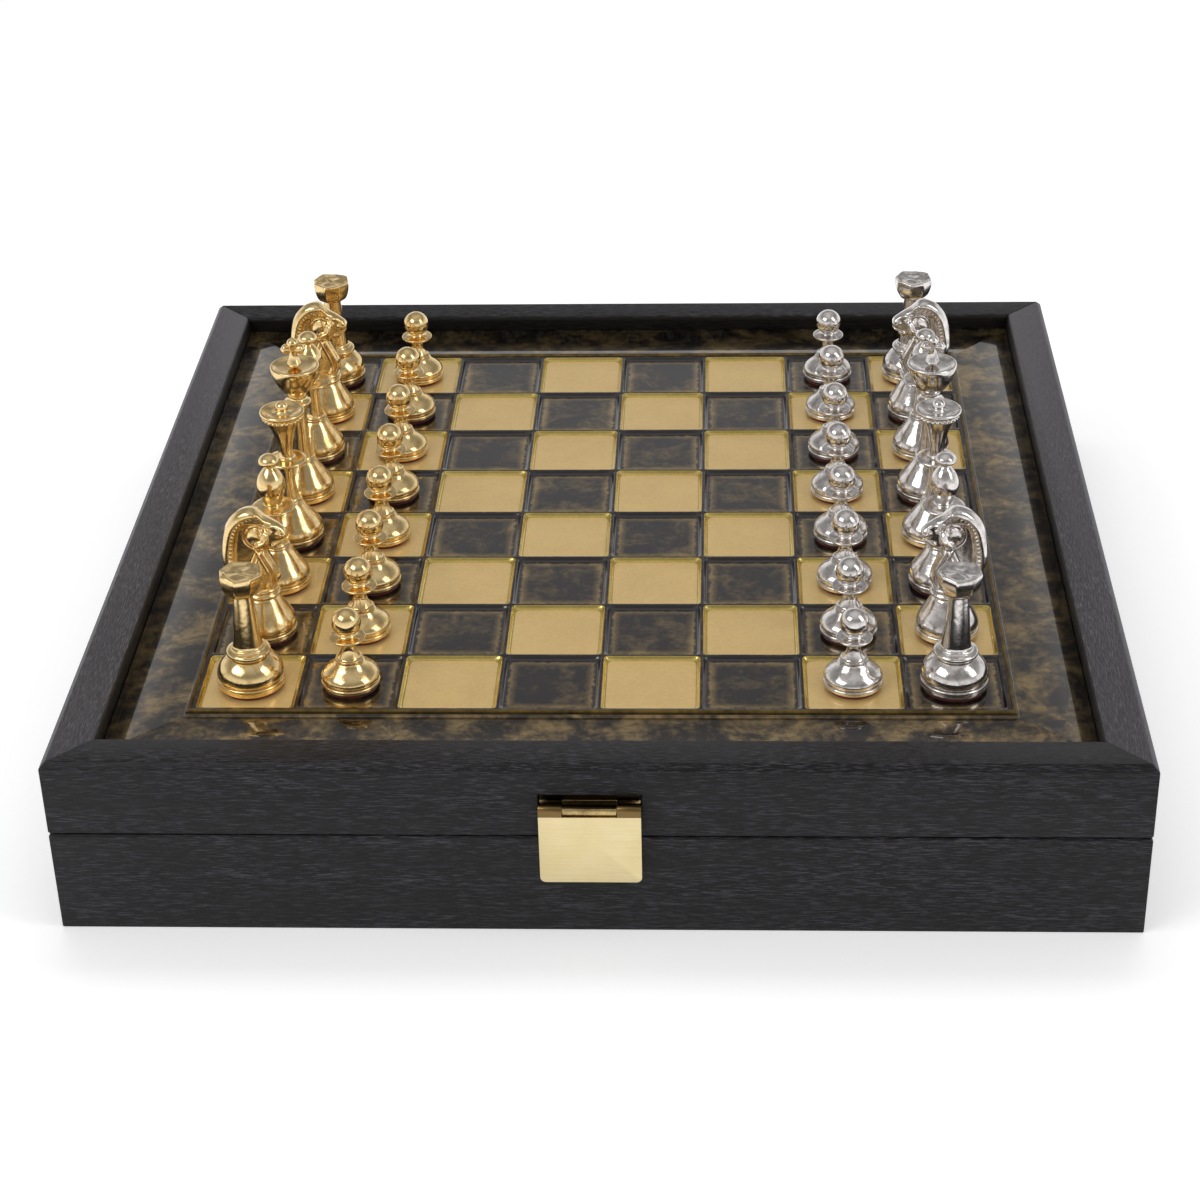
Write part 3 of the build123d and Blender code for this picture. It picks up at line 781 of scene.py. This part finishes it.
def rook_head():
    """The many-sided head: eight soft facets that lean outwards and a sunken, uneven top.

    The radius at a level is that level's size times the distance of a rounded eight-sided
    figure's side at the angle. The rim dips four times round. The top has a curved groove
    across it, and one side of the groove stands a little higher than the other.
    """
    angle = np.linspace(0, 2 * np.pi, rook_head_sides, endpoint=False)
    step = np.pi / 4
    around = (angle + 0.2) % step - step / 2
    facet = (np.cos(step / 2) / np.cos(around)) ** 0.9 * 1.03
    side = [(0, 30.6), (2.6, 30.6), (4.0, 30.8), (4.9, 31.6), (5.6, 33.0), (6.05, 34.8)]
    rim = [(6.25, 36.6), (6.2, 37.7), (5.9, 38.1), (5.3, 38.0), (4.6, 37.5)]
    top = [(3.4, 37.35), (1.6, 37.35), (0, 37.35)]
    levels = rounded(side + rim + top, 2)
    radius = levels[:, :1] * facet
    height = levels[:, 1:2] * np.ones_like(angle)
    on_rim = np.clip((height - 35.5) / 2.5, 0, 1) * np.clip(radius / 4.0, 0, 1)
    height = height - on_rim * (0.22 + 0.22 * np.cos(4 * angle + 0.4))
    across = radius * np.cos(angle - 0.9) - 0.12 * (radius * np.sin(angle - 0.9)) ** 2
    inside = np.clip(1 - radius / 5.2, 0, 1) ** 0.5 * (height > 36)
    groove = 0.35 * inside * np.exp(-((across / 0.45) ** 2))
    height = height - groove + 0.12 * inside * np.tanh(2 * across)
    height = np.minimum(height, 38.0)
    points = np.stack([radius * np.cos(angle), radius * np.sin(angle), height], axis=-1)
    return points, ring_faces(points.shape)


def smooth_step(value, low, high):
    """0 below low, 1 above high, and a smooth rise between."""
    share = np.clip((value - low) / (high - low), 0, 1)
    return share * share * (3 - 2 * share)


def mound(x, z, centre, reach):
    """1 at the centre and falling smoothly to 0 at its reach (along x, along z)."""
    away = ((x - centre[0]) / reach[0]) ** 2 + ((z - centre[1]) / reach[1]) ** 2
    return np.clip(1 - away, 0, 1) ** 1.5


def horse_side_view():
    """Two curves (x, z) from the neck's foot to the lips: over the mane, and up the chest and jaw."""
    neck = [(-4.4, 16.6), (-6.6, 18.2), (-9.4, 20.8), (-10.9, 24.4), (-10.9, 28.4)]
    crest = [(-10.2, 33.0), (-8.8, 37.6), (-6.2, 40.8), (-3.4, 42.3), (-0.8, 42.7)]
    nose = [(1.0, 41.4), (2.6, 39.7), (5.0, 38.4), (7.2, 36.9), (8.4, 35.9), (8.8, 34.9)]
    chest = [(4.6, 16.6), (5.6, 18.4), (6.0, 20.4), (5.0, 23.2), (3.6, 26.0), (2.5, 28.4)]
    jaw = [(2.6, 29.0), (3.2, 29.2), (4.6, 29.1), (5.8, 29.4), (6.6, 30.2), (6.9, 31.1)]
    chin = [(7.7, 31.4), (8.4, 32.1), (8.8, 33.0), (8.85, 34.0)]
    return rounded(neck + crest + nose, 4), rounded(chest + jaw + chin, 4)


def horse_face(thick, x, z):
    """Carves the cheek, eye, brow, nostril and mouth into the half-thickness where they fall."""
    cheek = np.hypot(x - 0.2, z - 33.3)
    beside = (1 - smooth_step(np.abs(cheek - 3.75), 0.1, 0.7)) * (1 - smooth_step(x, 0.6, 2.2))
    thick = thick - 0.9 * beside
    thick = thick + 1.5 * np.sqrt(np.clip(1 - (cheek / 3.5) ** 2, 0, 1))
    # Eye socket, eye, brow, swelling round the nostril, nostril: how far out, centre, reach
    for out, centre, reach in (
        (-0.8, (3.1, 36.0), (2.0, 1.3)),
        (1.1, (3.2, 35.9), (1.05, 0.75)),
        (0.7, (3.4, 37.3), (2.6, 0.8)),
        (0.45, (7.2, 34.4), (1.7, 1.5)),
        (-0.8, (7.7, 34.8), (0.65, 0.5)),
    ):
        thick = thick + out * mound(x, z, centre, reach)
    mouth = np.abs(z - (32.0 + 0.3 * (x - 6.0)))
    return thick - 0.8 * np.clip(1 - mouth / 0.5, 0, 1) * smooth_step(x, 4.2, 5.2)


def closing_strips(shape, count):
    """Faces that close the first and the last section, between points that face each other."""
    over = np.arange(count)
    facing = np.r_[0, np.arange(2 * count - 3, count - 1, -1), count - 1]
    first = np.column_stack([facing[:-1], facing[1:], over[1:], over[:-1]])
    return first, first[:, ::-1] + (shape[0] - 1) * shape[1]


def knight_head():
    """Neck and head as a fan of cross-sections between the two curves of the side view.

    A point is a share v of the way from the back curve to the front one at step u. Its
    half-thickness is a round edge at both curves, or the mane's ridge with a toothed comb
    along its inner side where that is more, minus the hollow of the neck, plus two ridges
    down the chest, and then the face.
    """
    back, front = horse_side_view()
    v = 0.5 - 0.5 * np.cos(np.linspace(0, np.pi, 72))
    start, end = back[:, None, :], front[:, None, :]
    section = start + (end - start) * v[None, :, None]
    x, z = section[..., 0], section[..., 1]
    width = np.linalg.norm(end - start, axis=-1)
    from_back, from_front = v * width, (1 - v) * width
    from_edge = np.minimum(from_back, from_front)
    run = np.cumsum(np.r_[0, np.linalg.norm(np.diff(back, axis=0), axis=1)])[:, None]
    on_neck = 1 - smooth_step(x - 0.45 * (z - 29.5), -0.4, 1.4)
    on_neck = on_neck * (1 - smooth_step(z, 35.5, 38.5))
    body = 2.35 - 0.55 * smooth_step(x, 2.0, 8.0)
    thick = body * np.sqrt(1 - (1 - np.clip(from_edge / 1.7, 0, 1)) ** 2)
    on_mane = smooth_step(run, 0.5, 4.0) * (1 - smooth_step(x + 0.5 * (42.0 - z), 0.6, 3.6))
    teeth = 0.5 + 0.5 * np.cos(2 * np.pi * run / 1.5)
    outer = np.sqrt(np.clip(1 - (1 - np.clip(from_back / 1.9, 0, 1)) ** 2, 0, 1))
    inner = 1 - smooth_step(from_back, 2.3, 3.1)
    comb = mound(from_back, np.zeros_like(z), (3.15, 0), (0.75, 1)) * teeth
    thick = np.maximum(thick, (3.0 * outer * inner + (1.9 + 1.0 * teeth) * comb) * on_mane)
    hollow = smooth_step(from_back, 3.3, 4.3) * smooth_step(from_front, 3.4, 4.2)
    thick = thick - 1.55 * hollow * on_neck
    ridges = 0.5 + 0.5 * np.cos(2 * np.pi * (from_front - 0.8) / 1.75)
    chest = (1 - smooth_step(from_front, 2.9, 3.6)) * smooth_step(from_front, 0.0, 0.7)
    low_neck = 1 - smooth_step(z, 28.0, 29.6)
    thick = horse_face(thick + ridges * chest * low_neck, x, z)
    thick = np.clip(thick, 0.05, 3.55) * np.sqrt(np.clip(from_edge / 0.4, 0, 1))
    near = np.stack([x, -thick, z], axis=-1)
    far = np.stack([x, thick, z], axis=-1)[:, -2:0:-1]
    points = np.concatenate([near, far], axis=1)
    return points, np.vstack([ring_faces(points.shape), *closing_strips(points.shape, len(v))])


# Chessmen in their places


def felt_disc(radius):
    """The pad under a foot, with its edge a little rounded."""
    edge = radius - 0.9
    under = [(0, 0.0), (edge - 0.4, 0.0), (edge, 0.05), (edge + 0.12, 0.45)]
    over = [(edge, felt_thick - 0.02), (edge - 0.4, felt_thick), (0, felt_thick)]
    return rounded(under + over, 2)


def square_middle(column, row):
    """The middle of a square, on top of the plate."""
    first = -(squares - 1) / 2
    return (first + column) * pitch, (first + row) * pitch + field_shift, plate_top


def figure_surfaces():
    """The surfaces of each kind of man."""
    queen, beads = queen_outline()
    return {
        "pawn": [turned(pawn_outline())],
        "rook": [turned(rook_outline()), rook_head()],
        "knight": [turned(knight_outline()), knight_head()],
        "bishop": [turned(bishop_outline())],
        "queen": [turned(queen, sides_per_bead * queen_beads, beads, queen_beads)],
        "king": [turned(king_outline()), *king_finial()],
    }


def stand_man(metal, kind, name, place, turn):
    """One man in its place: the casting, and the felt pad under it."""
    cast = [(points, faces, 0) for points, faces in figures[kind]]
    solid(name + "_cast", cast, [metal], name, [name], place, turn)
    pad = [(*turned(felt_disc(foot_radius[kind]), felt_sides), 0)]
    solid(name + "_felt", pad, [red_felt_painted_shade], name, (), place, turn)


figures = figure_surfaces()
for army, metal, officer_column, pawn_column, turn in (
    ("gold", gold_cast, 0, 1, 1),
    ("silver", silver_cast, 7, 6, -1),
):
    for row, letter in enumerate(letters):
        for kind, column in ((back_rank[row], officer_column), ("pawn", pawn_column)):
            single = kind in ("queen", "king")
            name = f"{army}_{kind}" if single else f"{army}_{kind}_{letter}"
            stand_man(metal, kind, name, square_middle(column, row), turn)


# Board

# Numbers of the board's finishes in its list
RIB, BEVEL, GOLD, DARK, MARGIN, BEAD = range(6)


def side_steps():
    """Places along a square's side from -1 to nearly 1, closer together near the corners."""
    return np.sin(np.pi / 2 * np.linspace(-1, 1, square_side_points, endpoint=False))


def square_walk(side):
    """Carries places along one side round all four sides of a square from -1 to 1, as (x, y)."""
    one = np.ones(len(side))
    return np.vstack(
        [
            np.column_stack([side, -one]),
            np.column_stack([one, side]),
            np.column_stack([-side, one]),
            np.column_stack([-one, -side]),
        ]
    )


def rounded_square(walk, half, corner):
    """Pulls the walk in to a square of that half-width whose corners are rounded.

    A point goes to the nearest one of a square smaller by the corner's radius, plus that
    radius in the direction it came from.
    """
    reach = walk * half
    core = np.clip(reach, -(half - corner), half - corner)
    out = reach - core
    length = np.linalg.norm(out, axis=1, keepdims=True)
    return core + out * np.divide(corner, length, out=np.ones_like(length), where=length > 0)


def board_cells():
    """The 64 pockets, each from the middle of its ribs down over rib and wall, and in to the centre.

    A ring is a square of half the pitch less its inset, with rounded corners. The levels
    run from the rib's top to the pocket's floor, which is a little lower by the wall.
    """
    walk = square_walk(side_steps())
    half = pitch / 2
    # Inset from the middle of the rib, level, corner radius, and what the faces inside it are
    rib, wall, floor = 0, 1, 2
    rings = (
        (0.0, 1.20, 0.001, rib),
        (0.28, 1.20, 0.7, rib),
        (0.42, 1.12, 1.1, wall),
        (0.60, 0.86, 1.3, wall),
        (0.86, 0.50, 1.4, wall),
        (1.12, 0.20, 1.55, wall),
        (1.36, 0.04, 1.65, wall),
        (1.60, 0.02, 1.7, floor),
        (2.30, 0.06, 1.8, floor),
        (3.20, 0.08, 1.8, floor),
        (5.50, 0.08, 1.5, floor),
        (9.50, 0.08, 1.2, floor),
    )
    flat = [rounded_square(walk, half - inset, corner) for inset, _, corner, _ in rings]
    flat[0] = walk * half
    flat.append(np.zeros_like(walk))
    level = np.array([ring[1] for ring in rings] + [rings[-1][1]])
    level = np.broadcast_to(level[:, None], (len(level), len(walk)))
    cell = np.dstack([np.array(flat), level])
    kind = np.repeat([ring[3] for ring in rings], len(walk))
    faces = ring_faces(cell.shape)
    gold = np.choose(kind, (RIB, BEVEL, GOLD))
    dark = np.choose(kind, (RIB, DARK, DARK))
    return [
        (cell + square_middle(column, row), faces, gold if (row + column) % 2 == 0 else dark)
        for row in range(squares)
        for column in range(squares)
    ]


def board_border():
    """The bead round the field, the flat margin, the plate's edge and its underside, ring by ring.

    A ring is the walk round a square of the field's half-width plus how far out it is, with
    the points that the outer pockets have there.
    """
    centres = (np.arange(squares) - (squares - 1) / 2) * pitch
    side = (centres[:, None] + side_steps() * pitch / 2).reshape(-1) / field_half
    walk = square_walk(side)
    inner = [(0, 1.2), (0.5, 1.2), (0.75, 1.2), (0.85, 1.6), (1.1, 1.8)]
    outer = [(1.6, 1.8), (1.85, 1.6), (2.2, 0.5), (2.5, 0.03), (3.2, 0.0)]
    profile = rounded(inner + outer, 2)[::-1]
    rings = [
        np.column_stack(
            [walk * (field_half + out) + (0, field_shift), np.full(len(walk), plate_top + up)]
        )
        for out, up in profile
    ]
    edge = walk * plate_half
    around = [
        np.column_stack([flat, np.full(len(walk), level)])
        for flat, level in (
            (edge * 0, plate_bottom),
            (edge, plate_bottom),
            (edge, plate_top - plate_edge),
            (edge * (1 - plate_edge / plate_half), plate_top),
        )
    ]
    points = np.array(around + rings)
    out_by = profile[:-1, 0]
    bead_or_rib = np.where(out_by > 0.75, BEAD, RIB)
    kind = np.r_[[MARGIN] * len(around), np.where(out_by > 2.2, MARGIN, bead_or_rib)]
    return points, ring_faces(points.shape), np.repeat(kind, len(walk))


def mark_insets(piece):
    """Stores at every point how far it lies from the nearest edge of its square, in millimetres."""
    place = np.empty(len(piece.data.vertices) * 3, np.float32)
    piece.data.vertices.foreach_get("co", place)
    flat = place.reshape(-1, 3)[:, :2] * per_metre - (0, field_shift)
    from_edge = pitch / 2 - np.abs((flat + field_half) % pitch - pitch / 2)
    attribute = piece.data.attributes.new("edge_distance", "FLOAT", "POINT")
    attribute.data.foreach_set("value", from_edge.min(axis=1).astype(np.float32))


board = solid(
    "board_plate_embossed",
    board_cells() + [board_border()],
    [rib_lacquer, gold_bevel, gold_square, dark_square, margin_lacquer, bead_brass],
    "lid",
    ["board_plate"],
)
mark_insets(board)


# Case, hinges and clasp

for body, part in (("base", "wall"), ("lid", "rail")):
    for side, wood in (("front", wood_x), ("back", wood_x), ("left", wood_y_painted_sheen), ("right", wood_y_painted_sheen)):
        eased(f"{body}_{side}_{part}", wood_edge, wood)
eased("clasp_flap", flap_edge, clasp_brass)
eased("clasp_leaf", leaf_edge, leaf_brass)

for finish, nodes in (
    (wood_x, ("base_bottom_panel", "lid_backing_panel")),
    (lining_felt, ("insert_floor", "insert_bars", "insert_dividers", "lid_lining")),
    (hinge_brass, ("hinge_base_leaves", "hinge_lid_leaves", "hinge_pins")),
    (knuckle_brass, ("clasp_pin", "clasp_catch")),
):
    for node in nodes:
        materials = frame["nodes"][node].data.materials
        materials.clear()
        materials.append(finish)


def screw_head():
    """A flush countersunk head: a turned shallow dome, lowered near one diameter for the slot."""
    outline = rounded([(0, -0.9), (0.9, -0.9), (1.7, -0.12), (1.72, 0), (1.5, 0.03), (0, 0.05)])
    points, faces = turned(outline, screw_sides)
    in_slot = (np.abs(points[..., 1]) < 0.3) & (points[..., 2] > -0.1)
    points[..., 2] = points[..., 2] - 0.45 * in_slot
    return points, faces


def screws(name, body, level, up):
    """Screw heads set into one body's leaves at a level, facing up where up is 1, down at -1."""
    points, faces = screw_head()
    faces = faces if up > 0 else faces[:, ::-1]
    heads = [(points * (1, 1, up) + (x, screw_y, level), faces, 0) for x in screw_xs]
    solid(name, heads, [hinge_brass], body)


screws("hinge_screws_base", "base", base_screw_level, 1)
screws("hinge_screws_lid", "lid", lid_screw_level, -1)


# Floor, light and camera


def pale_floor(half=6.0, near=0.5, far=2.5):
    """A wide white floor, lifted more from near to far for the camera and in what gloss shows."""
    material, tree, shader, own_place = new_finish("pale_floor")
    tone = noise(tree, own_place, scale=2.0)
    path = put(tree, "ShaderNodeLightPath").outputs
    seen = combine(tree, "MAXIMUM", path["Is Camera Ray"], path["Is Glossy Ray"])
    length = put(tree, "ShaderNodeVectorMath", {0: own_place}, operation="LENGTH")
    away = length.outputs["Value"]
    inputs = {"Value": away, "From Min": near, "From Max": far, "To Min": 0.22, "To Max": 0.55}
    lift = put(tree, "ShaderNodeMapRange", inputs).outputs[0]
    look = {
        "Base Color": mix(tree, tone, (0.90, 0.90, 0.90), (0.93, 0.93, 0.93)),
        "Roughness": 0.9,
        "Specular IOR Level": 0.1,
        "Emission Color": (1, 1, 1),
        "Emission Strength": combine(tree, "MULTIPLY", seen, lift),
    }
    feed(tree, shader, look)
    corners = [(-half, -half, 0), (half, -half, 0), (half, half, 0), (-half, half, 0)]
    mesh = bpy.data.meshes.new("floor")
    mesh.from_pydata(corners, [], [(0, 1, 2, 3)])
    mesh.materials.append(material)
    floor = bpy.data.objects.new("floor", mesh)
    bpy.context.scene.collection.objects.link(floor)


def studio_world():
    """White to the camera, and an even soft grey as light on the set.

    What gloss shows is white low down, dark half-way up and mid-grey overhead.
    """
    world = bpy.data.worlds.new("studio")
    bpy.context.scene.world = world
    world.use_nodes = True
    tree = world.node_tree
    tree.nodes.clear()
    direction = put(tree, "ShaderNodeTexCoord").outputs["Generated"]
    up = put(tree, "ShaderNodeSeparateXYZ", {0: direction}).outputs["Z"]
    low = ((0.0, 0.9), (0.25, 0.8), (0.42, 0.38))
    high = ((0.56, 0.27), (0.68, 0.27), (0.82, 0.42), (1.0, 0.6))
    gloss = ramp(tree, up, *low, *high)
    path = put(tree, "ShaderNodeLightPath").outputs
    shiny = combine(tree, "MAXIMUM", path["Is Glossy Ray"], path["Is Transmission Ray"])
    colour = mix(tree, shiny, (0.55, 0.55, 0.56), gloss)
    colour = mix(tree, path["Is Camera Ray"], colour, (1, 1, 1))
    back = put(tree, "ShaderNodeBackground", {"Color": colour, "Strength": 1.0})
    put(tree, "ShaderNodeOutputWorld", {"Surface": back.outputs[0]})


def softbox(name, place, width, height, power, mirrored=True):
    """A rectangular lamp turned towards the set's middle, shown in gloss where mirrored is true."""
    middle = Vector((0, 0, 0.06))
    lamp = bpy.data.lights.new(name, "AREA")
    lamp.shape = "RECTANGLE"
    lamp.size, lamp.size_y = width, height
    lamp.energy = power
    box = bpy.data.objects.new(name, lamp)
    box.location = place
    box.visible_glossy = mirrored
    box.rotation_euler = (middle - Vector(place)).to_track_quat("-Z", "Y").to_euler()
    bpy.context.scene.collection.objects.link(box)


def photo_camera(place, roll, focal_length):
    """The camera at the photograph's place, angle and lens."""
    forward = Vector((-0.0444, 0.85877, -0.51044)).normalized()
    right = Vector((0.99867, 0.05163, 0.0)).normalized()
    upward = right.cross(forward)
    across = np.cos(roll) * right + np.sin(roll) * upward
    upright = -np.sin(roll) * right + np.cos(roll) * upward
    lens = bpy.data.cameras.new("photo")
    lens.lens, lens.sensor_width = focal_length, 36.0
    camera = bpy.data.objects.new("photo", lens)
    turn = Matrix((across, upright, -forward)).transposed().to_4x4()
    camera.matrix_world = Matrix.Translation(place) @ turn
    bpy.context.scene.collection.objects.link(camera)
    bpy.context.scene.camera = camera


pale_floor()
studio_world()
softbox("key", (-0.75, -0.55, 0.95), width=0.7, height=0.45, power=4.0)
softbox("fill", (0.85, -0.35, 0.75), width=0.35, height=0.7, power=2.4)
softbox("top", (0.0, 0.35, 1.1), width=0.9, height=0.3, power=3.4, mirrored=False)
photo_camera((0.033162, -0.738042, 0.456190), roll=np.radians(-1.5), focal_length=78.462)
bpy.context.scene.view_settings.view_transform = "Standard"
